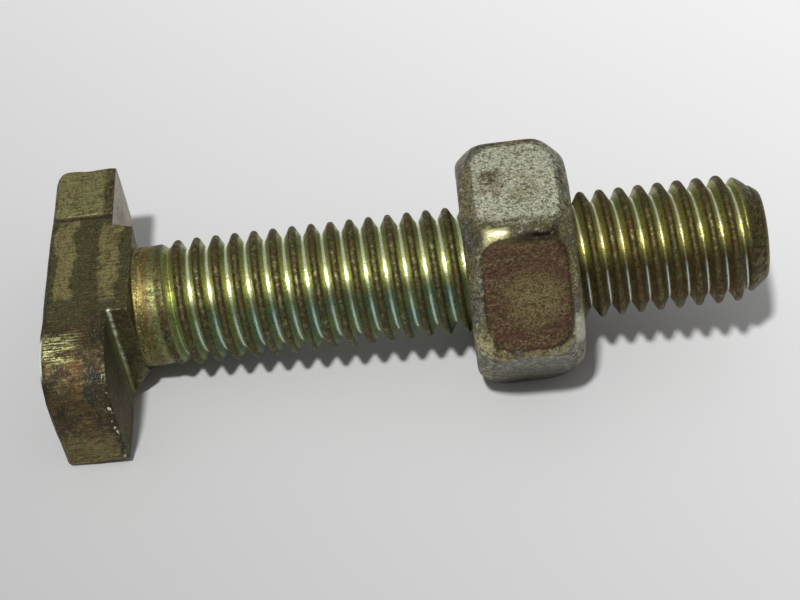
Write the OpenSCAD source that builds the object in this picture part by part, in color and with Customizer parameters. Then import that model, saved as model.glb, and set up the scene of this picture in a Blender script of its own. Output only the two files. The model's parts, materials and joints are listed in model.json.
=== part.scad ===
// T-head bolt with a hexagon nut, lying on a flat surface.
// Millimetres. The bolt is drawn along +X with its head along Y, then tipped about the origin until
// the edge of the head and the edge of the nut both touch the surface. The origin is on the bolt's
// axis, in the plane of the head's bearing face.

/* [Shank] */
// Diameter over the crests of the thread, 10 mm nominal
thread_d = 9.85; // [8:0.05:12]
// Length from the head's bearing face to the tip
bolt_len = 50; // [40:0.5:80]
// Distance from the bearing face to the start of the thread
thread_at = 3; // [2.5:0.1:6]
// How far the plain part before the thread is cut back from the crests
plain_step = 0.25; // [0.1:0.05:0.5]
// Length of the cone at the tip
tip_len = 2.2; // [1:0.1:3]
// Angle between the cone at the tip and the axis
tip_angle = 35; // [20:1:45]
// Radius between the cone and the flat end
tip_r = 0.5; // [0.1:0.05:0.8]

/* [Head] */
// Length of the head across the bolt
head_len = 23; // [18:0.1:30]
// Width of the head, and of the neck that is flush with it
head_w = 9.9; // [9.5:0.05:12]
// Thickness of the head along the bolt
head_t = 5.05; // [3.5:0.05:7]
// Radius of the two opposite corners that let the head turn in its slot
turn_r = 4; // [2.5:0.1:4.7]
// Radius of the other two corners
corner_r = 0.9; // [0.8:0.05:2]
// Radius of the edges of the outer face
edge_r = 0.5; // [0.3:0.05:0.7]

/* [Neck] */
// Length of the square neck under the head
neck_len = 1.6; // [1:0.1:2.4]
// Height of the neck along the head
neck_h = 9.4; // [9:0.1:11]
// Slope of the upper side of the neck, from the axis
neck_draft = 20; // [0:1:30]
// Slope of the lower corner that is drawn in to the shank, from the axis
neck_taper = 50; // [40:1:60]

/* [Nut] */
// Width of the nut across its flats
nut_af = 17; // [15:0.1:21]
// Height of the nut
nut_h = 8.4; // [6:0.1:12]
// How far the ring on the seat end stops short of the flats
nut_seat_rim = 0.4; // [0.2:0.05:1]
// How far the ring on the tip end stops short of the flats
nut_top_rim = 0.7; // [0.2:0.05:1.2]
// Angle of the chamfers, from the end faces
nut_chamfer = 45; // [25:1:50]
// Radius that rounds the chamfers into the corners of the hexagon
nut_round_r = 2.4; // [0.5:0.1:3]
// Radial clearance between the bore and the crests of the thread
nut_clear = 0.05; // [0.02:0.01:0.1]
// Depth of the countersink at each end of the bore
nut_sink = 0.5; // [0.2:0.05:1]
// Distance from the head's bearing face to the nut
nut_at = 27; // [8:0.25:33]

/* [Hidden] */
$fn = 96;

// how far a cutter reaches past what it cuts
past = 1;

thread_r = thread_d / 2;
plain_r = thread_r - plain_step;
bore_r = thread_r + nut_clear;
nut_corner = nut_af / 2 / cos(30);

// the line that touches both the rounded edge of the head and the lowest point of the nut
touch_x = nut_at + nut_seat_rim * tan(nut_chamfer) + head_t - edge_r;
touch_z = nut_af / 2 - head_w / 2 + edge_r;
rest_tilt = atan2(touch_z, touch_x) - asin(edge_r / norm([touch_x, touch_z]));

// tips the bolt into the attitude in which it lies
module lying() {
    rotate([0, -rest_tilt, 0]) children();
}

// turns a profile about the bolt's axis; it is drawn as (distance from the axis, distance along it)
module turned() {
    rotate([90, 0, 90]) rotate_extrude() children();
}

// a bar w wide and h tall whose two upper corners are rounded
module crowned(w, h, r) {
    translate([-w / 2, 0]) square([w, h - r]);
    translate([r - w / 2, 0]) square([w - 2 * r, h]);
    for (side = [-1, 1]) translate([side * (w / 2 - r), h - r]) circle(r);
}

// the head behind its bearing face, with the edges of its outer face rounded along all four sides
module head_block() {
    intersection() {
        rotate([90, 0, 0]) linear_extrude(head_len, center = true)
            rotate(90) crowned(head_w, head_t, edge_r);
        rotate([0, 0, 90]) linear_extrude(head_w, center = true)
            crowned(head_len, head_t, edge_r);
    }
}

// what is cut from the corner at +Y, +Z to round it, keeping the edge of the outer face
module corner_cutter(r) {
    translate([0, head_len / 2 - r, head_w / 2 - r]) difference() {
        translate([-head_t - past, 0, 0]) cube([head_t + 2 * past, r + past, r + past]);
        rotate([0, -90, 0]) rotate_extrude() intersection() {
            crowned(2 * r, head_t, edge_r);
            square([r, head_t]);
        }
    }
}

module head() {
    difference() {
        head_block();
        for (half = [0, 180]) rotate([half, 0, 0]) {
            corner_cutter(corner_r);
            mirror([0, 1, 0]) corner_cutter(turn_r);
        }
    }
}

// the square neck: its upper side has draft, and its lower corner is drawn in to the shank
module neck() {
    difference() {
        rotate([90, 0, 90]) linear_extrude(neck_len) square([neck_h, head_w], center = true);
        translate([0, neck_h / 2, 0]) rotate([0, 0, neck_draft])
            translate([-past, 0, -head_w]) cube([2 * neck_len + past, neck_h, 2 * head_w]);
        intersection() {
            translate([0, -neck_h, -head_w]) cube([neck_len + past, neck_h, head_w]);
            turned() difference() {
                square([neck_h, neck_len + past]);
                polygon([
                    [0, 0],
                    [norm([neck_h, head_w]) / 2, 0],
                    [norm([neck_h, head_w]) / 2 - neck_len * tan(neck_taper), neck_len],
                    [0, neck_len + past]
                ]);
            }
        }
    }
}

module shank() {
    tip_end = thread_r - tip_len * tan(tip_angle);
    tip_run = tip_r * tan((90 - tip_angle) / 2);
    turned() {
        square([plain_r, thread_at + thread_r - plain_r]);
        polygon([
            [0, thread_at],
            [plain_r, thread_at],
            [thread_r, thread_at + thread_r - plain_r],
            [thread_r, bolt_len - tip_len],
            [tip_end + tip_run * sin(tip_angle), bolt_len - tip_run * cos(tip_angle)],
            [tip_end - tip_run, bolt_len],
            [0, bolt_len]
        ]);
        translate([tip_end - tip_run, bolt_len - tip_r]) intersection() {
            circle(tip_r);
            square(tip_r);
        }
    }
}

module t_head_bolt() {
    color([0.48, 0.43, 0.22]) lying() {
        head();
        neck();
        shank();
    }
}

// half of the round envelope of the nut, from an end face where the ring stops short by rim
module nut_envelope(rim) {
    ring_r = nut_af / 2 - rim;
    cone_depth = (nut_corner - ring_r) * tan(nut_chamfer);
    run = nut_round_r * tan((90 - nut_chamfer) / 2);
    polygon([
        [0, 0],
        [ring_r, 0],
        [nut_corner - run * cos(nut_chamfer), cone_depth - run * sin(nut_chamfer)],
        [nut_corner, cone_depth + run],
        [nut_corner, nut_h / 2],
        [0, nut_h / 2]
    ]);
    translate([nut_corner - nut_round_r, cone_depth + run]) circle(nut_round_r);
}

module nut_bore() {
    cylinder(r = bore_r, h = nut_h + 2 * past, center = true);
    for (end = [0, 1]) mirror([0, 0, end]) translate([0, 0, nut_h / 2 - nut_sink])
        cylinder(r1 = bore_r, r2 = bore_r + nut_sink + past, h = nut_sink + past);
}

module hex_nut() {
    color([0.5, 0.46, 0.36]) lying() translate([nut_at + nut_h / 2, 0, 0]) rotate([0, 90, 0])
        difference() {
            intersection() {
                rotate(30) cylinder(r = nut_corner, h = nut_h, center = true, $fn = 6);
                rotate_extrude() {
                    translate([0, -nut_h / 2]) nut_envelope(nut_seat_rim);
                    mirror([0, 1]) translate([0, -nut_h / 2]) nut_envelope(nut_top_rim);
                }
            }
            nut_bore();
        }
}

t_head_bolt();
hex_nut();
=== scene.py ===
"""A T-head bolt with a hexagon nut: its rolled thread, forged head, worn plating, floor and lamp.

The bolt is drawn along +X, with the origin on its axis in the plane of the head's bearing face,
and is then tipped into the attitude in which it lies. Lengths are in metres.
"""

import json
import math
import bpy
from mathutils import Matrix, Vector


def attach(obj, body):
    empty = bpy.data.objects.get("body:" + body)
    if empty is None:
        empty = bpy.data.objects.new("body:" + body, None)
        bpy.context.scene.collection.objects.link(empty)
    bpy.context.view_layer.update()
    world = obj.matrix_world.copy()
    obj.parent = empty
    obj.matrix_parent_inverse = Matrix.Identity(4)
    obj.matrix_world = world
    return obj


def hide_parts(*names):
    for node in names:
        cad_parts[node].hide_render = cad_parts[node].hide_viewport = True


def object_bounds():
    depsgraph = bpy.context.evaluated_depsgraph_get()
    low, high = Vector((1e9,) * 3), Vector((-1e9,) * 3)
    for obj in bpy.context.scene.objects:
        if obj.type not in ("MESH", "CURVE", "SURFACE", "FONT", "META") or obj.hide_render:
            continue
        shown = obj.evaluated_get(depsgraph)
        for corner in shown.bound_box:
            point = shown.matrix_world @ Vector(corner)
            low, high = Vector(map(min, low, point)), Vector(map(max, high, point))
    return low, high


bl_info = {
    "name": "T-Head Bolt",
    "version": (1, 0, 0),
    "blender": (4, 5, 0),
    "location": "3D View > Sidebar > T-Head Bolt",
    "description": "Makes a T-head bolt with its nut, their thread and plating, and a plain stage",
    "category": "Object",
}

import bmesh
import bpy
from bpy.props import FloatProperty, FloatVectorProperty, IntProperty, PointerProperty
from mathutils import Matrix, Vector, noise

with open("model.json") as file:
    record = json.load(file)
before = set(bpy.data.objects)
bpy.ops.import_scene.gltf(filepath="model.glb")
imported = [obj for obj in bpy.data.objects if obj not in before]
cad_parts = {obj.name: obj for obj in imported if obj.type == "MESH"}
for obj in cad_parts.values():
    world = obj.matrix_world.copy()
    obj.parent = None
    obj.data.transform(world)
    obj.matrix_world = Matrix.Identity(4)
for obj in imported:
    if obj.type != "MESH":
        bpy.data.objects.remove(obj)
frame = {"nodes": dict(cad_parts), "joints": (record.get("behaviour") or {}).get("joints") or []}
cad_low, cad_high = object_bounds()

MM = 0.001
MERGE = 0.0005 * MM  # corners closer than this are one corner
FLANK = math.radians(60)  # slope of the thread's flanks from the axis

# along the bolt, along its head and up, as the pieces are drawn
X, Y, Z = (Vector(row) for row in Matrix.Identity(3))

# the same directions, as the bolt lies
ALONG = Vector(frame["joints"][0]["axis"]).normalized()
ACROSS = Vector((0, 1, 0))
SIDE = ALONG.cross(ACROSS)
TILT = math.atan2(ALONG.z, ALONG.x)
LIE = Matrix((ALONG, ACROSS, SIDE)).transposed().to_4x4()


def reach(node, direction):
    """The least and the greatest distance of a CAD node's corners along a direction."""
    found = [v.co.dot(direction) for v in frame["nodes"][node].data.vertices]
    return min(found), max(found)


HEAD_BACK, TIP = reach("t_head_bolt", ALONG)
HEAD_REACH = reach("t_head_bolt", ACROSS)[1]
HEAD_SIDE = reach("t_head_bolt", SIDE)[1]
NUT_SEAT, NUT_TOP = reach("hex_nut", ALONG)
NUT_CORNER = reach("hex_nut", ACROSS)[1]


def length(name, description, default):
    """A length that a user may change."""
    return FloatProperty(
        name=name, description=description, default=default, precision=5, unit="LENGTH"
    )


def angle(name, description, degrees):
    """An angle that a user may change, given here in degrees."""
    return FloatProperty(
        name=name,
        description=description,
        default=math.radians(degrees),
        unit="ROTATION",
    )


def colour(name, description, default):
    """A colour that a user may change."""
    return FloatVectorProperty(
        name=name,
        description=description,
        default=default,
        size=3,
        subtype="COLOR",
        min=0,
        max=1,
    )


class ThreadSizes(bpy.types.PropertyGroup):
    """The thread that the bolt and the nut share."""

    pitch: length("Pitch", "Distance from one turn to the next", 1.5 * MM)
    crest_r: length("Crest radius", "Radius of the bolt over its crests", 4.925 * MM)
    root_r: length("Root radius", "Radius of the bolt at its roots", 4.0 * MM)
    root_round: length("Root rounding", "Radius that rounds the roots", 0.1 * MM)
    crest_round: length("Crest rounding", "Radius that rounds the crests", 0.28 * MM)
    first_crest: length(
        "First crest", "Where a crest passes the upper side of the bolt", 0.5646 * MM
    )
    steps: IntProperty(
        name="Steps", description="Steps in one turn of the thread", default=96
    )
    fade_from: length("Run-out start", "Where the thread begins to rise", 2.8 * MM)
    fade_to: length("Run-out end", "Where the thread is full", 5.5 * MM)
    wear: length("Crest wear", "How deep the crests are worn and nicked", 0.05 * MM)


class BoltSizes(bpy.types.PropertyGroup):
    """The head, neck and tip of the bolt."""

    head_len: length("Head length", "Length of the head", 2 * HEAD_REACH)
    head_w: length("Head width", "Width of the head and the neck", 2 * HEAD_SIDE)
    head_t: length("Head thickness", "Thickness of the head", -HEAD_BACK)
    turn_r: length("Turning corners", "Radius of two opposite corners", 4 * MM)
    corner_r: length("Other corners", "Radius of the other two corners", 0.52 * MM)
    rim_r: length("Outer edges", "Radius of the edges of the outer face", 0.5 * MM)
    soft_r: length("Inner edges", "Radius of the edges by the neck", 0.13 * MM)
    neck_len: length("Neck length", "Length of the square neck", 1.6 * MM)
    neck_h: length("Neck height", "Height of the neck along the head", 9.4 * MM)
    neck_draft: angle("Neck draft", "Slope of the upper side of the neck", 20)
    neck_taper: angle("Neck taper", "Slope of the drawn-in lower corner", 50)
    plain_r: length("Plain radius", "Radius between neck and thread", 4.675 * MM)
    tip: length("Tip", "Distance from the bearing face to the tip", TIP)
    tip_len: length("Tip cone", "Length of the cone at the tip", 2.2 * MM)
    tip_angle: angle("Tip angle", "Slope of the cone from the axis", 35)
    tip_r: length("Tip rounding", "Radius between the cone and the end", 0.5 * MM)
    tip_soft: length("Tip softening", "How soft the cone runs into the crests", 0.4 * MM)
    dish: length("Tip dish", "Depth of the hollow in the flat end", 0.15 * MM)
    forging: length("Forging", "How uneven the forged surface is", 0.07 * MM)
    groove_at: length("Groove", "Where a dent runs across the head", 5.72 * MM)
    groove: length("Groove depth", "Depth of that dent", 0.07 * MM)
    groove_lean: FloatProperty(
        name="Groove lean", description="How far the dent leans per length along", default=0.03
    )
    lip: length("Lip", "How far the far end stands out beside its hollow", 0.12 * MM)
    end_round: length("End rounding", "Radius of the outer face into the far end", 1.9 * MM)
    thinning: length("Thinning", "How much thinner the far end is", 0.14 * MM)
    near_short: length("Near end", "How much shorter the near arm is", 0.2 * MM)


class NutSizes(bpy.types.PropertyGroup):
    """The hexagon nut."""

    seat: length("Seat", "Distance from the bearing face to the nut", NUT_SEAT)
    top: length("Top", "Distance from the bearing face to its other end", NUT_TOP)
    corner_r: length("Corners", "Radius over the sharp corners", NUT_CORNER)
    seat_rim: length("Seat rim", "How far the seat ring is inside the flats", 0.4 * MM)
    top_rim: length("Top rim", "How far the top ring is inside the flats", 0.7 * MM)
    round_r: length("Corner rounding", "Radius of chamfers into corners", 2.4 * MM)
    chamfer: angle("Chamfer", "Slope of the chamfers from the end faces", 45)
    bore_r: length("Bore radius", "Radius of the roots of its thread", 5.03 * MM)
    hole_r: length("Hole radius", "Radius of the crests of its thread", 4.3 * MM)
    crest_round: length("Crest rounding", "Radius of the crests of its thread", 0.12 * MM)
    sink: length("Countersink", "How far the bore widens at each end", 0.5 * MM)
    grain: length("Grain", "Side of the small faces of its skin", 0.14 * MM)
    softening: IntProperty(
        name="Softening", description="How often the edges are smoothed", default=20
    )
    dents: length("Unevenness", "How uneven the worn flats are", 0.03 * MM)


class PlatingColours(bpy.types.PropertyGroup):
    """The colours of the worn plating."""

    olive: colour("Olive", "Plating on the thread", (0.33, 0.36, 0.13))
    lime: colour("Lime", "Greener plating on the thread", (0.39, 0.44, 0.18))
    # painted highlight: the thread's bright band, the specks on its plain part and the head's near
    # corner
    painted_highlight: colour("Sheen", "Plating where it is brightest", (0.74, 0.75, 0.32))
    gold: colour("Gold", "Plating where it is thick", (0.48, 0.34, 0.08))
    # painted highlight on the thread past the nut
    amber_highlight: colour("Amber", "Plating past the nut where it is brightest", (0.50, 0.44, 0.12))
    # partly a teal film, partly a painted floor reflection on the thread's underside by the nut
    teal_film_and_reflection: colour("Teal", "Faint film of colour in the plating", (0.18, 0.32, 0.27))
    # also painted shade on the thread's underside past the nut
    brown: colour("Brown", "Spots of rust", (0.12, 0.055, 0.025))
    # also painted shade: in the head's groove, along the top of the nut's front flat and low on the
    # nut
    dark: colour("Dark", "Grime in scratches and on crests", (0.04, 0.03, 0.018))
    # also painted highlights: the lines in the thread's roots, the neck's fillet and a glint on the
    # head's near rim
    pale: colour("Pale", "Bare zinc in the roots and on nicks", (0.86, 0.88, 0.74))
    # painted bluish reflection low in the thread's roots, on the near side
    ice_reflection: colour("Ice", "Bluish zinc low in the roots", (0.66, 0.84, 0.90))
    stain: colour("Stain", "Dark film on the head", (0.10, 0.092, 0.035))
    khaki: colour("Khaki", "Dull plating on the head", (0.32, 0.275, 0.11))
    # also painted shade on the underside of the thread's plain part
    moss: colour("Moss", "Greener plating at the far end of the head", (0.33, 0.33, 0.13))
    russet: colour("Russet", "Brown film on the near arm of the head", (0.088, 0.062, 0.03))
    slate: colour("Slate", "Bluish grey patch on the head", (0.03, 0.042, 0.045))
    # painted reflection on the far arm's bearing face
    beige_reflection: colour("Beige", "Pale film on the far bearing face", (0.42, 0.38, 0.30))
    # also a painted highlight on the front flat's chamfer at the nut's top end
    silver: colour("Silver", "Bare zinc on the nut's upper flat", (0.78, 0.80, 0.62))
    plum: colour("Plum", "Brown film on the nut's front flat", (0.13, 0.052, 0.042))
    grey: colour("Grey", "Dull zinc on the nut", (0.185, 0.185, 0.14))
    # also a painted glint on the nut's corner and a painted highlight on its seat-end chamfer
    straw_scratch_and_glint: colour("Straw", "Bright scratches and worn corners", (0.80, 0.74, 0.40))
    ochre: colour("Ochre", "Orange brown film on the near arm", (0.16, 0.095, 0.035))
    # the pit's colour, nearly black
    pit_dark: colour("Soot", "Grime in a pit in the nut's edge", (0.008, 0.006, 0.004))


class StageSizes(bpy.types.PropertyGroup):
    """The floor, lamp and camera."""

    floor_size: length("Floor", "Side of the square floor", 3.0)
    # the two ends of a painted light gradient across the floor
    floor_near: colour("Near floor", "Floor at the near left", (0.46, 0.46, 0.46))
    floor_far: colour("Far floor", "Floor at the far right", (0.905, 0.905, 0.905))
    lamp_size: length("Lamp", "Side of the square lamp", 0.05)
    lamp_distance: length("Lamp distance", "From the lamp to the bolt", 0.8)
    lamp_power: FloatProperty(
        name="Lamp power", description="Power of the lamp", default=5.1, unit="POWER"
    )
    lens: FloatProperty(
        name="Lens",
        description="Focal length of the camera",
        default=85.5,
        unit="CAMERA",
    )
    elevation: angle("Elevation", "How steeply the camera looks down", 46.70)
    heading: angle("Heading", "How far the camera is turned towards the tip", 3.24)
    distance: length("Distance", "From the camera to the head's plane", 148.86 * MM)
    pan: length("Pan", "How far the camera stands to the right", 21.65 * MM)
    lift: length("Lift", "How far the camera stands up its picture", 0.74 * MM)


def sizes(group):
    """The scene's property group of that name."""
    return getattr(bpy.context.scene, group)


def in_mm(group, *names):
    """Some of a property group's sizes, in millimetres."""
    return [getattr(sizes(group), name) / MM for name in names]


# ---------------------------------------------------------------- modelling


def rounded(bm, edges, radius, segments):
    """Rounds edges."""
    bmesh.ops.bevel(
        bm,
        geom=edges,
        offset=radius,
        offset_type="OFFSET",
        segments=segments,
        profile=0.5,
        affect="EDGES",
        material=-1,
        clamp_overlap=False,
    )


def edges_where(bm, test):
    """The edges whose two ends both pass a test."""
    return [e for e in bm.edges if all(test(v.co) for v in e.verts)]


def sliced(bm, direction, start, stop, step):
    """Cuts the faces along evenly spaced planes, so that they can be shaped in between."""
    for i in range(1, math.ceil((stop - start) / step)):
        geom = bm.verts[:] + bm.edges[:] + bm.faces[:]
        place = direction * (start + i * step)
        bmesh.ops.bisect_plane(
            bm, geom=geom, dist=MERGE, plane_co=place, plane_no=direction
        )


def trimmed(bm, place, outwards):
    """Cuts off what lies past a place on the axis and gives the edges of the cut."""
    geom = bm.verts[:] + bm.edges[:] + bm.faces[:]
    cut = bmesh.ops.bisect_plane(
        bm,
        geom=geom,
        dist=MERGE,
        plane_co=(place, 0, 0),
        plane_no=(outwards, 0, 0),
        clear_outer=True,
    )
    return [e for e in cut["geom_cut"] if isinstance(e, bmesh.types.BMEdge)]


def capped(bm, rim):
    """Closes a cut with one face."""
    return bmesh.ops.edgeloop_fill(bm, edges=rim)["faces"]


def extruded(bm, rim, place, radius):
    """Carries a round rim on to another place and radius, and gives the new rim."""
    made = bmesh.ops.extrude_edge_only(bm, edges=rim)["geom"]
    for v in (g for g in made if isinstance(g, bmesh.types.BMVert)):
        scale = radius / math.hypot(v.co.y, v.co.z)
        v.co = (place, v.co.y * scale, v.co.z * scale)
    return [g for g in made if isinstance(g, bmesh.types.BMEdge)]


def set_radii(bm, rule):
    """Gives every corner the distance from the axis that a rule returns."""
    for v in bm.verts:
        radius = math.hypot(v.co.y, v.co.z)
        if radius > MERGE:
            scale = rule(v.co, radius) / radius
            v.co.y *= scale
            v.co.z *= scale


def spun(bm, profile, steps, advance=0, merge=False):
    """Turns a profile of (distance along the axis, radius) about the axis."""
    chain = [bm.verts.new((x, 0, r)) for x, r in profile]
    edges = [bm.edges.new(pair) for pair in zip(chain, chain[1:])]
    bmesh.ops.spin(
        bm,
        geom=chain + edges,
        axis=X,
        cent=(0, 0, 0),
        dvec=(advance, 0, 0),
        angle=math.tau,
        steps=steps,
        use_merge=merge,
    )


def closed(bm):
    """Merges doubles and turns every face outwards."""
    bmesh.ops.remove_doubles(bm, verts=bm.verts, dist=MERGE)
    bmesh.ops.recalc_face_normals(bm, faces=bm.faces)
    return bm


def combined(bm, other, operation):
    """Unites, cuts or crosses two closed shapes."""
    meshes = [bpy.data.meshes.new("shape") for _ in range(2)]
    for mesh, shape in zip(meshes, (bm, other)):
        shape.to_mesh(mesh)
        shape.free()
    base, tool = [bpy.data.objects.new("shape", mesh) for mesh in meshes]
    for obj in (base, tool):
        bpy.context.scene.collection.objects.link(obj)
    boolean = base.modifiers.new("boolean", "BOOLEAN")
    boolean.operation = operation
    boolean.solver = "EXACT"
    boolean.object = tool
    graph = bpy.context.evaluated_depsgraph_get()
    result = bmesh.new()
    result.from_mesh(base.evaluated_get(graph).to_mesh())
    for obj in (base, tool):
        bpy.data.objects.remove(obj)
    for mesh in meshes:
        bpy.data.meshes.remove(mesh)
    if not result.faces:
        raise RuntimeError(f"the {operation.lower()} of two shapes is empty")
    return closed(result)


def remeshed(bm, grain):
    """The same closed shape with an even skin of small faces."""
    mesh = bpy.data.meshes.new("shape")
    bm.to_mesh(mesh)
    bm.free()
    obj = bpy.data.objects.new("shape", mesh)
    bpy.context.scene.collection.objects.link(obj)
    remesh = obj.modifiers.new("remesh", "REMESH")
    remesh.mode = "VOXEL"
    remesh.voxel_size = grain
    result = bmesh.new()
    graph = bpy.context.evaluated_depsgraph_get()
    result.from_mesh(obj.evaluated_get(graph).to_mesh())
    bpy.data.objects.remove(obj)
    bpy.data.meshes.remove(mesh)
    return closed(result)


def smoothed(bm, sharp_angle):
    """Shades the faces smooth, and keeps the edges sharper than an angle."""
    for f in bm.faces:
        f.smooth = True
    for e in bm.edges:
        e.smooth = e.calc_face_angle(0) < sharp_angle


def placed(bm, name, body, node, material):
    """Tips a shape into place and makes it the piece that stands for a CAD node."""
    smoothed(bm, math.radians(40))
    bmesh.ops.transform(bm, matrix=LIE, verts=bm.verts)
    mesh = bpy.data.meshes.new(name)
    bm.to_mesh(mesh)
    bm.free()
    mesh.materials.append(material)
    piece = bpy.data.objects.new(name, mesh)
    bpy.context.scene.collection.objects.link(piece)
    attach(piece, body)
    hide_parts(node)
    return piece


def eased(value, start, stop):
    """0 before start, 1 after stop, and a smooth rise in between."""
    share = min(1, max(0, (value - start) / (stop - start)))
    return share * share * (3 - 2 * share)


def bell(value, middle, width):
    """1 in the middle, with a smooth fall on both sides."""
    return math.exp(-(((value - middle) / width) ** 2))


# ---------------------------------------------------------------- thread


def thread_profile(crest_r, root_r, root_round, crest_round, pitch):
    """One pitch of the thread as (distance along the axis, radius), from crest to crest."""
    half = pitch / 2
    root, crest = [], []
    for turn in (FLANK * i / 3 for i in range(4)):
        root.append((root_round * math.sin(turn), root_r + root_round * (1 - math.cos(turn))))
    for turn in (FLANK * (1 - i / 5) for i in range(6)):
        x = half - crest_round * math.sin(turn)
        crest.append((x, crest_r - crest_round * (1 - math.cos(turn))))
    flank = []
    for share in (0.25, 0.5, 0.75):
        flank.append(tuple(a + share * (b - a) for a, b in zip(root[-1], crest[0])))
    side = root + flank + crest
    return [(half - x, r) for x, r in reversed(side)] + [(half + x, r) for x, r in side[1:]]


def swept_thread(profile, start, stop):
    """A thread of that profile from start to stop, open at both ends."""
    thread = sizes("bolt_thread")
    first = thread.first_crest
    first += thread.pitch * math.floor((start - first) / thread.pitch - 1)
    turns = math.ceil((stop - first) / thread.pitch) + 1
    bm = bmesh.new()
    profile = [(first + x, r) for x, r in profile]
    spun(bm, profile, thread.steps, advance=thread.pitch / thread.steps)
    turn = bm.verts[:] + bm.edges[:] + bm.faces[:]
    for i in range(1, turns):
        made = bmesh.ops.duplicate(bm, geom=turn)["geom"]
        copied = [g for g in made if isinstance(g, bmesh.types.BMVert)]
        bmesh.ops.translate(bm, verts=copied, vec=(i * thread.pitch, 0, 0))
    bmesh.ops.remove_doubles(bm, verts=bm.verts, dist=2 * MERGE)
    return bm


def bolt_shank():
    """The threaded shank, from inside the head to the rounded tip."""
    thread, bolt = sizes("bolt_thread"), sizes("bolt_sizes")
    slope = math.tan(bolt.tip_angle)
    tip_end = thread.crest_r - bolt.tip_len * slope
    bend = math.pi / 2 - bolt.tip_angle
    run = bolt.tip_r * math.tan(bend / 2)
    cone_end = bolt.tip - run * math.cos(bolt.tip_angle)
    start = -bolt.head_t / 4

    def radius(at, r):
        """The thread's radius, faded in by the head, worn, and cut by the cone at the tip."""
        rise = eased(at.x, thread.fade_from, thread.fade_to)
        height = (r - thread.root_r) / (thread.crest_r - thread.root_r)
        nick = noise.noise(at / (0.8 * MM)) - 0.1 + 0.6 * noise.noise(at / (2.5 * MM))
        worn = r - thread.wear * max(0, nick) * height**3
        r = bolt.plain_r + (worn - bolt.plain_r) * rise
        cone = tip_end + (bolt.tip - at.x) * slope
        overlap = max(0, 1 - abs(r - cone) / bolt.tip_soft)
        return min(r, cone) - bolt.tip_soft * overlap**2 / 4

    rounding = thread.root_round, thread.crest_round
    profile = thread_profile(thread.crest_r, thread.root_r, *rounding, thread.pitch)
    bm = swept_thread(profile, start, bolt.tip)
    capped(bm, trimmed(bm, start, -1))
    set_radii(bm, radius)
    rim = trimmed(bm, cone_end, 1)
    centre_r = tip_end - run
    for share in (0.2, 0.4, 0.6, 0.8, 1):
        turn = bolt.tip_angle + bend * share
        place = bolt.tip - bolt.tip_r * (1 - math.sin(turn))
        rim = extruded(bm, rim, place, centre_r + bolt.tip_r * math.cos(turn))
    for share, depth in ((0.9, 0.25), (0.75, 0.8), (0.5, 1)):
        rim = extruded(bm, rim, bolt.tip - bolt.dish * depth, centre_r * share)
    capped(bm, rim)
    return closed(bm)


# ---------------------------------------------------------------- bolt


def bolt_head():
    """The forged head and its square neck."""
    bolt = sizes("bolt_sizes")
    half, side, neck = bolt.head_len / 2, bolt.head_w / 2, bolt.neck_h / 2
    drawn = neck - bolt.neck_len * math.tan(bolt.neck_draft)
    outline = [
        (-bolt.head_t, -half),
        (0, -half),
        (0, -neck),
        (bolt.neck_len, -neck),
        (bolt.neck_len, drawn),
        (0, neck),
        (0, half),
        (-bolt.head_t, half),
    ]
    bm = bmesh.new()
    face = bm.faces.new([bm.verts.new((x, y, -side)) for x, y in outline])
    made = bmesh.ops.extrude_face_region(bm, geom=[face])["geom"]
    raised = [g for g in made if isinstance(g, bmesh.types.BMVert)]
    bmesh.ops.translate(bm, verts=raised, vec=(0, 0, bolt.head_w))
    bmesh.ops.recalc_face_normals(bm, faces=bm.faces)

    def corners(sign):
        """The edges along the bolt at the head's two corners where y times z has that sign."""
        found = edges_where(bm, lambda co: min(abs(co.y) - half, abs(co.z) - side) > -MERGE)
        found = [e for e in found if e.verts[0].co.y * e.verts[0].co.z * sign > 0]
        return [e for e in found if abs(e.verts[0].co.x - e.verts[1].co.x) > MERGE]

    rounded(bm, corners(-1), bolt.turn_r, 12)
    rounded(bm, corners(1), bolt.corner_r, 6)
    rounded(bm, edges_where(bm, lambda co: co.x < MERGE - bolt.head_t), bolt.rim_r, 6)
    rounded(bm, edges_where(bm, lambda co: co.x > -MERGE), bolt.soft_r, 4)

    # finer slices by the groove and at the far end, where the shape changes fastest
    for direction, start, stop, step in (
        (Y, -half, half, 0.4),
        (Y, bolt.groove_at - MM, bolt.groove_at + MM, 0.13),
        (Y, half - 0.6 * MM, half, 0.15),
        (Z, -side, side, 0.4),
        (X, -bolt.head_t, bolt.neck_len, 0.32),
    ):
        sliced(bm, direction, start, stop, step * MM)
    closed(bm)

    corner_r = math.hypot(bolt.neck_h, bolt.head_w) / 2

    def drawn_in(at, r):
        """The neck's radius, with its lower corner drawn in to the shank."""
        if at.x > MERGE and at.y < 0 and at.z < 0:
            return min(r, corner_r - at.x * math.tan(bolt.neck_taper))
        return r

    set_radii(bm, drawn_in)
    uneven_head(bm)
    forged(bm)
    return closed(bm)


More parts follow.
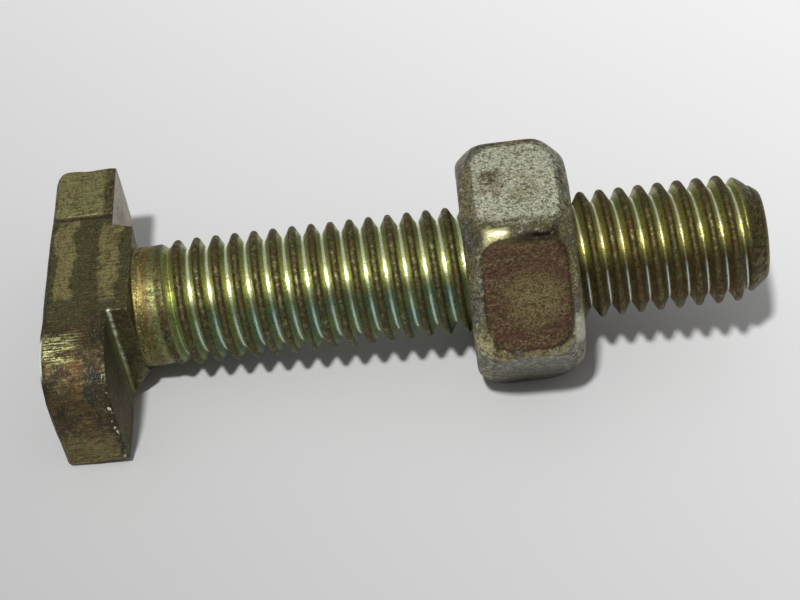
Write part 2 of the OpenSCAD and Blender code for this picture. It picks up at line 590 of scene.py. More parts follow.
def uneven_head(bm):
    """Gives the head its groove, the lip and hollow of its far end, and its thinner far arm."""
    bolt = sizes("bolt_sizes")
    half, side, neck = bolt.head_len / 2, bolt.head_w / 2, bolt.neck_h / 2
    hollow_at, hollow_width = -2.3 * MM, 0.75 * MM
    for v in bm.verts:
        x, y, z = v.co
        across = bell(y + bolt.groove_lean * x, bolt.groove_at, 0.2 * MM)
        v.co.z -= bolt.groove * across * eased(z, side - 1.2 * MM, side - 0.1 * MM)
        hollow = bell(x, hollow_at, hollow_width) + eased(x, -0.5 * MM, 0)
        v.co.y -= bolt.lip * min(1, hollow) * eased(y, half - 1.5 * MM, half)
        v.co.y += bolt.near_short * eased(-y, neck, half)
        # the near end is rounded half as much as the far end
        radius = bolt.end_round if y > 0 else bolt.end_round / 2
        centre = Vector((radius - bolt.head_t, half - radius))
        beyond = Vector((min(0, v.co.x - centre.x), max(0, abs(v.co.y) - centre.y)))
        if beyond.x < 0 < beyond.y and beyond.length > radius:
            beyond *= radius / beyond.length
            v.co.x = centre.x + beyond.x
            v.co.y = math.copysign(centre.y + beyond.y, v.co.y)
        outer = eased(-x, 2 * MM, bolt.head_t)
        v.co.x += bolt.thinning * outer * eased(abs(y + 2 * MM), neck, half)


def forged(bm):
    """Makes the faces of the head as uneven as forging and handling leave them."""
    bolt = sizes("bolt_sizes")
    bm.normal_update()
    moves = []
    for v in bm.verts:
        broad = noise.noise(v.co / (3.1 * MM))
        fine = noise.noise(v.co / (1.1 * MM) + Vector((7, 3, 1)))
        moves.append(-bolt.forging * (0.5 + 0.7 * broad + 0.35 * fine))
    for v, move in zip(bm.verts, moves):
        v.co += v.normal * min(0, move)


# ---------------------------------------------------------------- nut


def nut_envelope():
    """The turned form that the corners of the hexagon are cut to."""
    nut = sizes("nut_sizes")
    flat_r = nut.corner_r * math.cos(math.radians(30))
    run = nut.round_r * math.tan((math.pi / 2 - nut.chamfer) / 2)
    middle = (nut.seat + nut.top) / 2

    def end(place, inwards, rim):
        """The profile from the axis at one end to the middle."""
        ring_r = flat_r - rim
        cone = (nut.corner_r - ring_r) * math.tan(nut.chamfer)
        points = [(0, 0), (0, ring_r)]
        for i in range(9):
            turn = nut.chamfer + (math.pi / 2 - nut.chamfer) * i / 8
            x = cone + run - nut.round_r * math.cos(turn)
            points.append((x, nut.corner_r - nut.round_r * (1 - math.sin(turn))))
        return [(place + inwards * x, r) for x, r in points]

    profile = end(nut.seat, 1, nut.seat_rim) + [(middle, nut.corner_r)]
    profile += reversed(end(nut.top, -1, nut.top_rim))
    bm = bmesh.new()
    spun(bm, profile, 144, merge=True)
    return closed(bm)


def nut_hexagon():
    """The plain hexagon, a corner to each side and a flat above and below."""
    nut = sizes("nut_sizes")
    bm = bmesh.new()
    bmesh.ops.create_cone(
        bm,
        cap_ends=True,
        segments=6,
        radius1=nut.corner_r,
        radius2=nut.corner_r,
        depth=nut.top - nut.seat + 2 * MM,
    )
    turn = Matrix.Rotation(math.radians(90), 4, "Y")
    place = Matrix.Translation(((nut.seat + nut.top) / 2, 0, 0))
    bmesh.ops.transform(bm, matrix=place @ turn, verts=bm.verts)
    return closed(bm)


def nut_bore():
    """What the threaded bore and its countersinks take away."""
    thread, nut = sizes("bolt_thread"), sizes("nut_sizes")
    rounding = thread.root_round, nut.crest_round
    profile = thread_profile(nut.bore_r, nut.hole_r, *rounding, thread.pitch)
    bm = swept_thread(profile, nut.seat - MM, nut.top + MM)
    for place, outwards in ((nut.seat - MM, -1), (nut.top + MM, 1)):
        capped(bm, trimmed(bm, place, outwards))

    def countersunk(at, r):
        """The bore's radius, widened towards each end."""
        depth = min(at.x - nut.seat, nut.top - at.x)
        return max(r, nut.bore_r + nut.sink - depth)

    set_radii(bm, countersunk)
    return closed(bm)


def nut_body():
    """The hexagon cut to its envelope, with worn edges and flats."""
    nut = sizes("nut_sizes")
    bm = combined(nut_hexagon(), nut_envelope(), "INTERSECT")
    bm = remeshed(bm, nut.grain)
    for _ in range(nut.softening):
        bmesh.ops.smooth_vert(
            bm, verts=bm.verts, factor=0.5, use_axis_x=True, use_axis_y=True, use_axis_z=True
        )
    bm.normal_update()
    for v in bm.verts:
        dent = 0.5 + 0.7 * noise.noise(v.co / (2.3 * MM))
        dent += 0.4 * noise.noise(v.co / (0.9 * MM) + Vector((2, 5, 9)))
        v.co -= v.normal * nut.dents * max(0, dent)
    return closed(bm)


# ---------------------------------------------------------------- finishes


class Finish:
    """A material under construction. Its lengths are millimetres in the bolt's directions."""

    def __init__(self, name):
        self.material = bpy.data.materials.new(name)
        self.material.use_nodes = True
        self.tree = self.material.node_tree
        self.shader = self.tree.nodes["Principled BSDF"]
        where = self.node("ShaderNodeTexCoord")
        turn = self.node("ShaderNodeMapping")
        turn.inputs["Rotation"].default_value = (0, TILT, 0)
        turn.inputs["Scale"].default_value = (1 / MM, 1 / MM, 1 / MM)
        self.tree.links.new(where.outputs["Object"], turn.inputs["Vector"])
        self.place = turn.outputs["Vector"]
        split = self.node("ShaderNodeSeparateXYZ")
        self.tree.links.new(self.place, split.inputs[0])
        self.x, self.y, self.z = split.outputs
        self.radius = self.distance(self.y, self.z)
        self.facing_up = self.math("DIVIDE", self.z, self.radius)
        self.facing_near = self.math("DIVIDE", self.y, self.times(self.radius, -1))

    def node(self, kind):
        """A new node of that kind."""
        return self.tree.nodes.new(kind)

    def put(self, socket, value):
        """Links or writes a value to a socket."""
        if isinstance(value, bpy.types.NodeSocket):
            self.tree.links.new(value, socket)
        elif hasattr(value, "__len__") and len(value) == 3 and len(socket.default_value) == 4:
            socket.default_value = (*value, 1)
        else:
            socket.default_value = value

    def math(self, operation, a, b=0.0):
        """The result of an operation on two values."""
        node = self.node("ShaderNodeMath")
        node.operation = operation
        self.put(node.inputs[0], a)
        self.put(node.inputs[1], b)
        return node.outputs[0]

    def joined(self, operation, values):
        """The result of an operation that joins any number of values."""
        result = values[0]
        for value in values[1:]:
            result = self.math(operation, result, value)
        return result

    def times(self, *factors):
        """The product of several values."""
        return self.joined("MULTIPLY", factors)

    def plus(self, *terms):
        """The sum of several values."""
        return self.joined("ADD", terms)

    def most(self, *values):
        """The greatest of several values."""
        return self.joined("MAXIMUM", values)

    def rest(self, share):
        """What a share leaves of 1."""
        return self.math("SUBTRACT", 1, share)

    def past(self, value, edge):
        """How far a value is past an edge, and 0 before it."""
        return self.most(self.plus(value, -edge), 0)

    def distance(self, a, b):
        """The length of the diagonal over a and b."""
        return self.math("SQRT", self.plus(self.math("POWER", a, 2), self.math("POWER", b, 2)))

    def share(self, value, start, stop, low=0.0, high=1.0, ramp="SMOOTHSTEP"):
        """A step from low at start to high at stop."""
        node = self.node("ShaderNodeMapRange")
        node.interpolation_type = ramp
        for socket, number in zip(node.inputs, (value, start, stop, low, high)):
            self.put(socket, number)
        return node.outputs[0]

    def between(self, value, start, stop, soft):
        """1 between start and stop, and 0 outside them."""
        rise = self.share(value, start - soft, start + soft)
        return self.times(rise, self.share(value, stop - soft, stop + soft, 1, 0))

    def mix(self, share, a, b):
        """The colour a with a share of the colour b over it."""
        node = self.node("ShaderNodeMix")
        node.data_type = "RGBA"
        self.put(node.inputs[0], share)
        self.put(node.inputs[6], a)
        self.put(node.inputs[7], b)
        return node.outputs[2]

    def layered(self, base, *coats):
        """A colour with coats over it, each given as its share and its colour."""
        for share, coat in coats:
            base = self.mix(share, base, coat)
        return base

    def noise(self, size, detail=3.0, roughness=0.55, stretch=(1, 1, 1), shift=(0, 0, 0)):
        """Soft noise whose lumps are about that many millimetres, drawn out along stretch."""
        turn = self.node("ShaderNodeMapping")
        turn.inputs["Location"].default_value = shift
        turn.inputs["Scale"].default_value = [1 / (size * s) for s in stretch]
        self.tree.links.new(self.place, turn.inputs["Vector"])
        node = self.node("ShaderNodeTexNoise")
        self.tree.links.new(turn.outputs["Vector"], node.inputs["Vector"])
        node.inputs["Scale"].default_value = 1
        node.inputs["Detail"].default_value = detail
        node.inputs["Roughness"].default_value = roughness
        return node.outputs["Fac"]

    def patch(self, a, b, half_a, half_b, corner, soft):
        """1 inside a rectangle with round corners whose centre is where a and b are 0."""
        past_a = self.past(self.math("ABSOLUTE", a), half_a - corner)
        past_b = self.past(self.math("ABSOLUTE", b), half_b - corner)
        return self.share(self.distance(past_a, past_b), corner + soft, corner - soft)

    def turned_corner(self, end, radius):
        """1 outside radius from the centre of the head's far (1) or near (-1) turning corner."""
        head_len, head_w, turn_r = in_mm("bolt_sizes", "head_len", "head_w", "turn_r")
        past_y = self.past(self.times(self.y, end), head_len / 2 - turn_r)
        past_z = self.past(self.times(self.z, -end), head_w / 2 - turn_r)
        return self.share(self.distance(past_y, past_z), radius - 0.1, radius)

    def towards(self, degrees):
        """The distance from the axis in a direction across it, turned from +Y towards +Z."""
        turn = math.radians(degrees)
        return self.plus(self.times(self.y, math.cos(turn)), self.times(self.z, math.sin(turn)))

    def bump(self, height, depth):
        """Raises the surface by depth millimetres where height is 1."""
        node = self.node("ShaderNodeBump")
        node.inputs["Strength"].default_value = 1
        node.inputs["Distance"].default_value = depth * MM
        self.put(node.inputs["Height"], height)
        return node.outputs["Normal"]

    def done(self, base, metallic, roughness, normal=None):
        """Hands the values to the shader and gives the finished material."""
        self.put(self.shader.inputs["Base Color"], base)
        self.put(self.shader.inputs["Metallic"], metallic)
        self.put(self.shader.inputs["Roughness"], roughness)
        if normal is not None:
            self.put(self.shader.inputs["Normal"], normal)
        return self.material


def thread_skin(f, tint):
    """The colour and the roughness of the thread, and the height of its grain."""
    crest_r, root_r, run_out = in_mm("bolt_thread", "crest_r", "root_r", "fade_from")
    tip = sizes("bolt_sizes").tip / MM
    seat = sizes("nut_sizes").seat / MM
    speck = f.noise(0.15, 2, 0.6)
    mottle = f.noise(0.45, 4, 0.7)
    cloud = f.noise(3.2, 3, 0.5)
    film = f.noise(1.7, 3, 0.5, shift=(9, 0, 3))
    smear = f.noise(0.7, 3, 0.6, shift=(3, 1, 8))
    streak = f.noise(0.3, 3, 0.6, stretch=(1, 5, 5))
    crest = f.share(f.radius, crest_r - 0.425, crest_r - 0.165)
    cone = f.share(f.x, tip - 2.1, tip - 1.2)
    plain = f.share(f.x, run_out - 0.4, run_out + 0.2, 1, 0)
    by_nut = f.between(f.x, 5, seat + 1, 3)
    past_nut = f.share(f.x, seat + 4, seat + 8)
    low = f.share(f.facing_up, 0.75, 0.4)
    lit = f.times(
        f.between(f.facing_up, 0.66, 1.2, 0.13),
        f.share(f.facing_near, -0.1, 0.4),
        f.share(f.x, 4, 7, 0.2, 0.55),
    )

    crests = f.layered(
        tint.stain,
        (f.share(smear, 0.45, 0.6, 0, 0.75), tint.brown),
        (f.share(speck, 0.5, 0.62), tint.dark),
    )
    skin = f.layered(
        tint.olive,
        (f.share(cloud, 0.38, 0.6), f.mix(f.times(past_nut, 0.4), tint.lime, tint.gold)),
        # painted highlight band along the upper near side, amber past the nut
        (lit, f.mix(past_nut, tint.painted_highlight, tint.amber_highlight)),
        # teal film with a painted floor reflection, on the underside by the nut
        (f.times(f.share(film, 0.38, 0.6, 0.15, 0.75), low, by_nut), tint.teal_film_and_reflection),
        # painted shade: brown on the underside past the nut
        (f.times(past_nut, low, 0.8), tint.brown),
        (f.share(mottle, 0.52, 0.68, 0, 0.5), tint.brown),
        (f.share(mottle, 0.52, 0.34, 0, 0.45), tint.lime),
        (f.share(speck, 0.5, 0.68, 0, 0.7), tint.dark),
        (f.share(speck, 0.42, 0.28, 0, 0.35), tint.gold),
        (f.times(crest, f.share(mottle, 0.34, 0.5, 0.55, 0.95)), crests),
    )

    run_in = f.times(f.between(f.x, 2.3, 2.9, 0.25), f.share(mottle, 0.6, 0.42, 0.1, 0.8))
    bare = f.layered(
        tint.gold,
        # moss over all, more on the underside as painted shade
        (f.plus(0.3, f.times(low, 0.5)), tint.moss),
        (f.share(streak, 0.38, 0.56, 0.3, 0.9), tint.stain),
        (f.share(mottle, 0.48, 0.6, 0, 0.4), tint.brown),
        # painted glints in the specks
        (f.share(speck, 0.42, 0.28, 0, 0.8), tint.painted_highlight),
        (run_in, tint.ochre),
    )

    # painted highlight in the roots: a pale line along every root, brightest on the upper side, with
    # a painted bluish reflection on the near side
    depth = f.plus(f.radius, f.times(past_nut, 0.04))
    root = f.times(
        f.share(depth, root_r + 0.04, root_r + 0.13, 1, 0),
        f.share(f.x, tip - 1.8, tip - 1.2, 1, 0),
    )
    bright_from = f.plus(0.5, f.times(past_nut, 0.3))
    bright_to = f.plus(0.75, f.times(past_nut, 0.17))
    bright = f.share(f.facing_up, bright_from, bright_to)
    below = f.times(f.share(f.facing_near, 0.84, 0.93), f.share(f.facing_up, -0.6, -0.2))
    everywhere = f.plus(0.3, f.times(by_nut, 0.3))
    strength = f.most(f.times(bright, 0.95), f.times(below, 0.7), everywhere)
    end = f.mix(f.share(mottle, 0.4, 0.56), tint.stain, tint.dark)
    skin = f.layered(
        skin,
        (plain, bare),
        (f.times(cone, f.share(speck, 0.3, 0.42, 0.3, 0.92)), end),
        (f.times(f.between(f.x, tip - 0.25, tip + 0.2, 0.08), 0.4), tint.khaki),
        (f.times(root, strength), f.mix(f.times(below, 0.6), tint.pale, tint.ice_reflection)),
    )
    rough = f.plus(
        f.share(mottle, 0.35, 0.7, 0.34, 0.52),
        f.times(crest, 0.22),
        f.times(root, -0.14),
        f.times(cone, 0.1),
    )
    return skin, rough, f.plus(f.times(mottle, 0.4), f.times(speck, 0.25))


def head_skin(f, tint):
    """The colour and roughness of the head and neck, the height of their grain, and how
    metallic they are."""
    width, thickness, neck_h, groove_at = in_mm(
        "bolt_sizes", "head_w", "head_t", "neck_h", "groove_at"
    )
    side, neck, back = width / 2, neck_h / 2, -thickness
    lean = sizes("bolt_sizes").groove_lean
    warp = f.plus(f.noise(1.5, 4, 0.6, stretch=(1, 1.6, 1)), -0.5)
    x = f.plus(f.x, f.times(warp, 2.2))
    y = f.plus(f.y, f.times(warp, 3.5))
    streak = f.noise(0.15, 3, 0.6, stretch=(14, 1, 1))
    weave = f.noise(0.2, 3, 0.6, stretch=(1, 4, 1), shift=(5, 1, 0))
    speck = f.noise(0.13, 2, 0.6)
    forged = f.noise(0.4, 4, 0.7)
    cloud = f.noise(1.6, 4, 0.6)
    broken = f.noise(0.9, 4, 0.65, shift=(4, 2, 7))
    spots = f.noise(0.5, 3, 0.6, shift=(3, 8, 1))
    chips = f.noise(0.6, 3, 0.6, shift=(1, 4, 2))
    top = f.share(f.z, side - 0.65, side - 0.15)
    far = f.share(f.y, groove_at - 0.22, groove_at + 0.08)
    near = f.share(y, -4, -6)
    arms = f.share(f.math("ABSOLUTE", f.y), neck - 0.1, neck + 0.2)

    # the upper side: khaki bands along both edges, the near arm's brown film with a painted
    # highlight and its slate patch, a painted shadow in the groove across the far arm, and darker
    # rims
    left = f.times(f.between(x, -4.3, -2.9, 0.1), f.between(y, -3.2, 5.3, 0.4))
    right = f.times(f.between(x, -0.85, 0.7, 0.12), f.between(y, -3.4, 4.5, 0.4))
    right = f.times(right, f.share(broken, 0.6, 0.5, 0.35, 1))
    ochre = f.times(f.between(x, -3.0, -1.7, 0.3), f.share(cloud, 0.62, 0.45, 0, 0.8))
    lower = f.mix(f.share(cloud, 0.42, 0.55), tint.dark, tint.russet)
    lower = f.mix(ochre, lower, tint.ochre)
    painted_sparkle = f.times(f.between(f.y, -9.2, -6.6, 0.5), f.share(x, -1.4, -3.2), top)
    slate = f.times(f.between(x, -1.7, -0.2, 0.2), f.between(y, -10.9, -9.8, 0.3))
    across = f.plus(f.y, f.times(f.x, lean))
    groove = f.between(across, groove_at - 0.32, groove_at + 0.14, 0.1)
    rim = f.most(
        f.plus(
            f.share(f.x, back + 0.2, back + 0.55, 1, 0),
            f.times(f.between(f.x, -0.5, 0.02, 0.15), arms),
        ),
        f.times(f.between(f.x, -0.85, 0.02, 0.2), far, 0.85),
    )

    # the bearing face, with a painted reflection on its far arm and painted shade on its near arm,
    # its far edge, and a painted highlight on the fillet between its near arm and the neck
    bearing = f.times(f.share(f.x, -0.1, 0), f.share(f.x, 0.2, 0.1))
    face = f.mix(f.share(cloud, 0.4, 0.6), tint.stain, tint.russet)
    face = f.mix(f.share(f.y, -6.8, -4.8, 0, 0.6), face, tint.olive)
    edge = f.times(f.share(f.x, -0.25, -0.1), f.share(f.x, 0.2, 0.1), f.share(f.y, 4, 5))
    fillet_highlight = f.times(
        f.between(f.x, 0, 0.24, 0.1),
        f.between(f.y, -neck - 0.25, -neck + 0.2, 0.1),
        f.share(forged, 0.6, 0.42, 0.15, 0.85),
    )

    # where the edges of the near arm are worn bright, and a painted glint on the outer rim of the
    # near end
    worn = f.times(
        f.between(f.x, -0.42, -0.17, 0.04), f.share(f.y, -9.6, -10), f.share(chips, 0.54, 0.6)
    )
    glint = f.times(
        f.share(f.x, back + 0.37, back + 0.19),
        f.between(f.y, -9.8, -6.9, 0.4),
        f.turned_corner(-1, 3.62),
    )
    bright = f.most(f.times(worn, 0.8), glint)

    skin = f.layered(
        f.mix(f.most(left, right), tint.stain, tint.khaki),
        (far, f.mix(f.share(forged, 0.4, 0.6), tint.moss, tint.khaki)),
        (near, f.mix(f.share(f.z, -0.9, -2.2, 0, 0.5), lower, tint.khaki)),
        # painted highlight on the near arm's turning corner
        (f.times(painted_sparkle, f.share(streak, 0.56, 0.46), f.share(forged, 0.62, 0.5)), tint.painted_highlight),
        (f.times(slate, 0.8), tint.slate),
        # painted shadow in the groove
        (f.times(groove, top, 0.85), tint.dark),
        (f.times(rim, f.share(forged, 0.35, 0.55, 0.5, 0.95)), tint.dark),
        (f.share(forged, 0.52, 0.66, 0, 0.7), tint.dark),
        (f.share(forged, 0.46, 0.34, 0, 0.35), tint.olive),
        (f.share(streak, 0.5, 0.64, 0, 0.6), tint.dark),
        (f.share(weave, 0.5, 0.66, 0, 0.5), tint.stain),
        (f.share(speck, 0.5, 0.7, 0, 0.6), tint.dark),
        (f.share(speck, 0.42, 0.26, 0, 0.25), tint.straw_scratch_and_glint),
        (f.share(spots, 0.56, 0.66, 0, 0.4), tint.brown),
        # painted reflection on the far bearing face, painted shade on the near one
        (f.times(bearing, f.share(f.y, 4, 5)), tint.beige_reflection),
        (f.times(bearing, f.share(f.y, -4, -5)), face),
        (f.times(edge, f.turned_corner(1, 3.75)), tint.pale),
        # painted highlight along the fillet
        (fillet_highlight, f.mix(f.share(f.z, -3.5, 1.5), tint.moss, tint.pale)),
        # worn nicks, and a painted glint on the near end's outer rim
        (bright, tint.pale),
    )
    rough = f.plus(
        f.share(forged, 0.3, 0.7, 0.36, 0.54),
        f.share(streak, 0.3, 0.7, -0.05, 0.08),
        f.times(painted_sparkle, -0.14),
        f.times(near, 0.16),
    )
    height = f.plus(
        f.times(streak, f.plus(0.7, painted_sparkle)), forged, f.times(speck, 0.4), f.times(weave, 0.3)
    )
    return skin, rough, height, f.plus(0.8, f.times(bright, -0.6))


def bolt_plating():
    """Yellow plating, glossy olive and gold on the thread, and stained and scratched on the head."""
    tint = sizes("plating_colours")
    f = Finish("bolt_plating")
    head = f.share(f.x, 1.5, 1.75, 1, 0)
    thread = f.rest(head)
    skin, rough, height = thread_skin(f, tint)
    head_base, head_rough, head_height, head_metal = head_skin(f, tint)
    base = f.mix(head, skin, head_base)
    rough = f.plus(f.times(thread, rough), f.times(head, head_rough))
    height = f.plus(f.times(thread, height), f.times(head, head_height))
    metal = f.plus(f.times(thread, 0.9), f.times(head, head_metal))
    return f.done(base, metal, rough, f.bump(height, 0.06))


def nut_plating():
    """Plating worn silver on one flat, brown on the next and grey on the chamfers."""
    tint = sizes("plating_colours")
    seat, top, corner_r = in_mm("nut_sizes", "seat", "top", "corner_r")
    flat_r = corner_r * math.cos(math.radians(30))
    f = Finish("nut_plating")
    mottle = f.noise(0.4, 4, 0.7)
    speck = f.noise(0.15, 2, 0.6)
    blotch = f.noise(2.2, 3, 0.6)
    grain = f.noise(0.15, 3, 0.6, stretch=(6, 1, 1))
    bands = f.noise(0.8, 3, 0.6, stretch=(6, 1, 1))
    weave = f.noise(0.17, 3, 0.7, stretch=(1.5, 1, 1), shift=(2, 2, 6))
    ragged = f.times(f.plus(mottle, -0.5), 0.5)
    along = f.plus(f.x, -(seat + top) / 2 - 0.12, ragged)

    # the flats inside their chamfers, and the grime along their outlines
    flats, outlines = [], []
    for degrees in (90, 150, 210):
        across = f.towards(degrees - 90)
        near = f.share(f.towards(degrees), flat_r - 0.5, flat_r - 0.4)
        flat = f.times(f.patch(along, f.plus(across, ragged), 3.27, 4.4, 1.9, 0.12), near)
        inner = f.patch(along, across, 3.07, 4.2, 1.8, 0.1)
        flats.append(flat)
        outlines.append(f.times(flat, f.rest(inner), f.share(mottle, 0.35, 0.55, 0.3, 0.8)))
    upper, front, lower = flats

    worn = f.mix(f.share(blotch, 0.5, 0.68, 0, 0.5), tint.silver, tint.khaki)
    across, ridge = f.towards(60), f.towards(120)
    olive = f.patch(f.plus(along, -0.5), f.plus(across, 0.3), 2.0, 1.9, 1.8, 1.1)
    plum = f.layered(
        tint.plum,
        (f.share(weave, 0.38, 0.62, 0, 0.5), tint.moss),
        (f.share(bands, 0.42, 0.6, 0, 0.6), tint.plum),
        (f.share(mottle, 0.46, 0.6, 0, 0.55), tint.dark),
        (f.times(olive, f.share(weave, 0.6, 0.42, 0.2, 0.75)), tint.khaki),
    )
    spot = f.times(
        f.between(f.x, seat + 1.7, seat + 3.3, 0.4),
        f.between(f.y, 0.1, 1.8, 0.4),
        upper,
        f.share(bands, 0.44, 0.54),
        f.share(mottle, 0.4, 0.5, 0.3, 0.9),
    )

    # the corner between the upper and the front flat, darkened, with a painted shadow along the top
    # of the front flat, its pit and a painted glint near the seat end
    ragged_across = f.plus(across, ragged)
    corner = f.times(
        f.share(ridge, corner_r - 0.865, corner_r - 0.515), f.share(across, 3.6, 4)
    )
    painted_edge_shadow = f.times(
        f.between(ragged_across, 3.85, 4.8, 0.25),
        f.share(f.x, seat + 3.2, seat + 4.8),
        corner,
        f.share(mottle, 0.34, 0.46, 0.5, 1),
    )
    pit = f.times(
        f.between(f.x, seat + 5.2, seat + 6.5, 0.25), f.between(across, 4.22, 4.5, 0.1)
    )
    glint = f.times(
        corner,
        f.between(f.plus(f.x, ragged), seat + 1.7, seat + 3.3, 0.4),
        f.share(across, 5.2, 4.98),
        f.rest(front),
    )

    # painted highlights on the chamfers of the front flat: yellow at the seat end, white at the
    # other
    yellow_highlight = f.times(
        f.between(along, -4.2, -3, 0.2),
        f.between(ragged_across, -5, -2.9, 0.4),
        f.share(mottle, 0.55, 0.45, 0.05, 0.4),
    )
    white_highlight = f.times(f.share(along, 3.1, 3.4), f.between(ragged_across, -4.6, -2.2, 0.5), 0.45)

    base = f.layered(
        tint.grey,
        (f.share(blotch, 0.42, 0.6, 0, 0.8), tint.khaki),
        (upper, worn),
        (front, plum),
        (f.times(lower, 0.7), tint.grey),
        *((outline, tint.dark) for outline in outlines),
        (f.share(mottle, 0.52, 0.64, 0, 0.7), tint.brown),
        (f.times(f.share(mottle, 0.46, 0.34, 0, 0.45), f.rest(front)), tint.pale),
        (f.share(speck, 0.46, 0.66, 0, 0.8), tint.dark),
        (f.share(grain, 0.55, 0.7, 0, 0.4), tint.dark),
        (spot, tint.russet),
        (f.times(upper, f.share(weave, 0.5, 0.6, 0, 0.55)), tint.khaki),
        (f.times(corner, f.share(mottle, 0.35, 0.55, 0.2, 0.7)), tint.stain),
        # painted shadow along the top of the front flat
        (painted_edge_shadow, tint.dark),
        (pit, tint.pit_dark),
        # painted glint near the seat end
        (glint, tint.straw_scratch_and_glint),
        # painted highlights on the front flat's chamfers
        (yellow_highlight, tint.straw_scratch_and_glint),
        (white_highlight, tint.silver),
        # painted shade: darker towards the nut's underside, less so by its seat
        (f.times(f.share(ridge, 4, -4, 0, 0.8), f.share(f.x, seat, seat + 4, 0.4, 1)), tint.dark),
    )
    rough = f.plus(
        f.share(mottle, 0.3, 0.7, 0.42, 0.6), f.times(corner, 0.18), f.times(glint, -0.26)
    )
    height = f.plus(mottle, f.times(grain, 0.4), f.times(speck, 0.4), f.times(pit, -2))
    return f.done(base, 0.8, rough, f.bump(height, 0.06))


def floor_paint():
    """Pale grey, with a painted light gradient that lightens it towards the far right."""
    stage = sizes("bolt_stage")
    f = Finish("floor")
    # painted light: the floor grows lighter towards the far right
    rise = f.plus(f.times(f.x, 0.0031), f.times(f.y, 0.0037))
    lightness = f.share(rise, -0.16, 0.34, ramp="LINEAR")
    f.shader.inputs["Specular IOR Level"].default_value = 0.1
    return f.done(f.mix(lightness, stage.floor_near, stage.floor_far), 0.0, 0.9)


# ---------------------------------------------------------------- stage


def make_floor():
    """A plain pale floor under the bolt."""
    stage = sizes("bolt_stage")
    bm = bmesh.new()
    bmesh.ops.create_grid(bm, x_segments=1, y_segments=1, size=stage.floor_size / 2)
    bmesh.ops.translate(bm, verts=bm.verts, vec=(0, 0, cad_low.z))
    mesh = bpy.data.meshes.new("floor")
    bm.to_mesh(mesh)
    bm.free()
    mesh.materials.append(floor_paint())
    floor = bpy.data.objects.new("floor", mesh)
    bpy.context.scene.collection.objects.link(floor)


def make_lamp():
    """A small square key lamp above the near left."""
    stage = sizes("bolt_stage")
    aim = Vector((22 * MM, 0, 0))
    outwards = Vector((-0.22, -0.46, 1)).normalized()
    data = bpy.data.lights.new("key", "AREA")
    data.shape = "SQUARE"
    data.size = stage.lamp_size
    data.energy = stage.lamp_power
    lamp = bpy.data.objects.new("key", data)
    lamp.location = aim + stage.lamp_distance * outwards
    lamp.rotation_mode = "QUATERNION"
    lamp.rotation_quaternion = outwards.to_track_quat("Z", "Y")
    bpy.context.scene.collection.objects.link(lamp)


def make_world():
    """Soft light from all round, dimmer low down on the near side."""
    world = bpy.data.worlds.new("studio")
    world.use_nodes = True
    nodes, links = world.node_tree.nodes, world.node_tree.links
    where = nodes.new("ShaderNodeTexCoord")
    split = nodes.new("ShaderNodeSeparateXYZ")
    links.new(where.outputs["Generated"], split.inputs[0])
    level = nodes.new("ShaderNodeMath")
    level.operation = "MAXIMUM"
    by_height = (0.15, 0.85, 0.06, 0.42)
    by_depth = (-0.1, 0.6, 0, 0.3)
    for axis, target, numbers in (("Z", 0, by_height), ("Y", 1, by_depth)):
        ramp = nodes.new("ShaderNodeMapRange")
        ramp.interpolation_type = "SMOOTHSTEP"
        links.new(split.outputs[axis], ramp.inputs[0])
        for socket, number in zip(ramp.inputs[1:], numbers):
            socket.default_value = number
        links.new(ramp.outputs[0], level.inputs[target])
    background = world.node_tree.nodes["Background"]
    background.inputs["Color"].default_value = (1, 1, 1, 1)
    links.new(level.outputs[0], background.inputs["Strength"])
    bpy.context.scene.world = world


def make_camera():
    """The camera, looking down on the bolt across its length."""
    stage = sizes("bolt_stage")
    level = Vector((math.sin(stage.heading), math.cos(stage.heading), 0))
    forward = level * math.cos(stage.elevation)
    forward.z = -math.sin(stage.elevation)
    right = Vector((level.y, -level.x, 0))
    up = right.cross(forward)
    data = bpy.data.cameras.new("camera")
    data.lens = stage.lens
    data.sensor_width = 36
    data.clip_start = 10 * MM
    camera = bpy.data.objects.new("camera", data)
    turn = Matrix((right, up, -forward)).transposed().to_4x4()
    place = right * stage.pan + up * stage.lift - forward * stage.distance
    camera.matrix_world = Matrix.Translation(place) @ turn
    bpy.context.scene.collection.objects.link(camera)
    bpy.context.scene.camera = camera


# ---------------------------------------------------------------- operators


class BOLT_OT_make_bolt(bpy.types.Operator):
    """Make the bolt: forged head, square neck and rolled thread"""

    bl_idname = "t_head_bolt.make_bolt"
    bl_label = "Make Bolt"

    def execute(self, context):
        bm = combined(bolt_head(), bolt_shank(), "UNION")
        placed(bm, "bolt", "bolt", "t_head_bolt", bolt_plating())
        return {"FINISHED"}


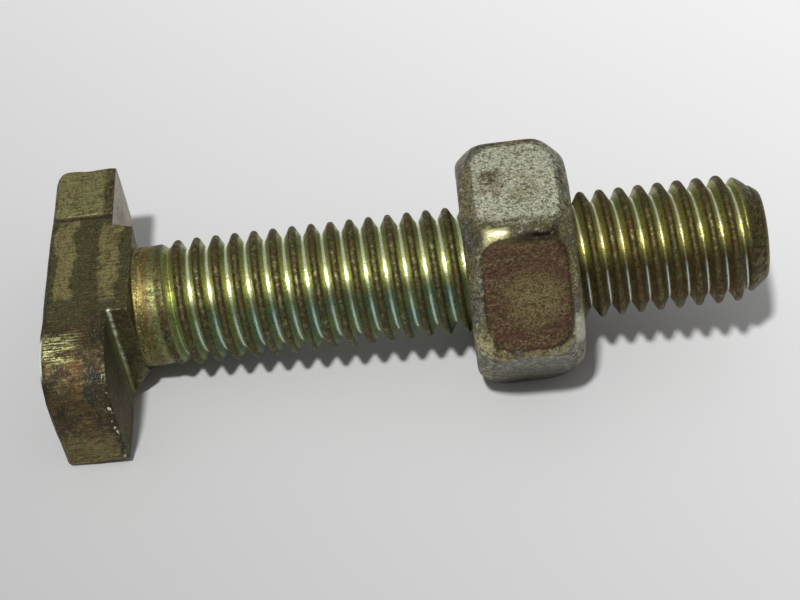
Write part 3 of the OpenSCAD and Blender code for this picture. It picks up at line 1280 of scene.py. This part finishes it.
class BOLT_OT_make_nut(bpy.types.Operator):
    """Make the hexagon nut with its threaded bore"""

    bl_idname = "t_head_bolt.make_nut"
    bl_label = "Make Nut"

    def execute(self, context):
        bm = combined(nut_body(), nut_bore(), "DIFFERENCE")
        placed(bm, "nut", "nut", "hex_nut", nut_plating())
        return {"FINISHED"}


class BOLT_OT_make_stage(bpy.types.Operator):
    """Make the floor, the lamp, the world and the camera"""

    bl_idname = "t_head_bolt.make_stage"
    bl_label = "Make Stage"

    def execute(self, context):
        make_floor()
        make_lamp()
        make_world()
        make_camera()
        return {"FINISHED"}


class BOLT_PT_panel(bpy.types.Panel):
    """Lists the sizes and the pieces"""

    bl_label = "T-Head Bolt"
    bl_idname = "BOLT_PT_panel"
    bl_space_type = "VIEW_3D"
    bl_region_type = "UI"
    bl_category = "T-Head Bolt"

    def draw(self, context):
        for name, group in GROUPS.items():
            box = self.layout.box()
            box.label(text=group.__doc__)
            for key in group.__annotations__:
                box.prop(getattr(context.scene, name), key)
        for operator in OPERATORS:
            self.layout.operator(operator.bl_idname)


GROUPS = {
    "bolt_thread": ThreadSizes,
    "bolt_sizes": BoltSizes,
    "nut_sizes": NutSizes,
    "plating_colours": PlatingColours,
    "bolt_stage": StageSizes,
}
OPERATORS = (BOLT_OT_make_bolt, BOLT_OT_make_nut, BOLT_OT_make_stage)


def register():
    """Adds the sizes, the operators and the panel."""
    for group in GROUPS.values():
        bpy.utils.register_class(group)
    for name, group in GROUPS.items():
        setattr(bpy.types.Scene, name, PointerProperty(type=group))
    for operator in OPERATORS:
        bpy.utils.register_class(operator)
    bpy.utils.register_class(BOLT_PT_panel)


def unregister():
    """Takes away what register added."""
    bpy.utils.unregister_class(BOLT_PT_panel)
    for operator in reversed(OPERATORS):
        bpy.utils.unregister_class(operator)
    for name in GROUPS:
        delattr(bpy.types.Scene, name)
    for group in reversed(GROUPS.values()):
        bpy.utils.unregister_class(group)


def main():
    """Makes the bolt, the nut and the stage, and sets the view transform to Standard."""
    register()
    bpy.ops.t_head_bolt.make_bolt()
    bpy.ops.t_head_bolt.make_nut()
    bpy.ops.t_head_bolt.make_stage()
    bpy.context.scene.view_settings.view_transform = "Standard"


if __name__ == "__main__":
    main()
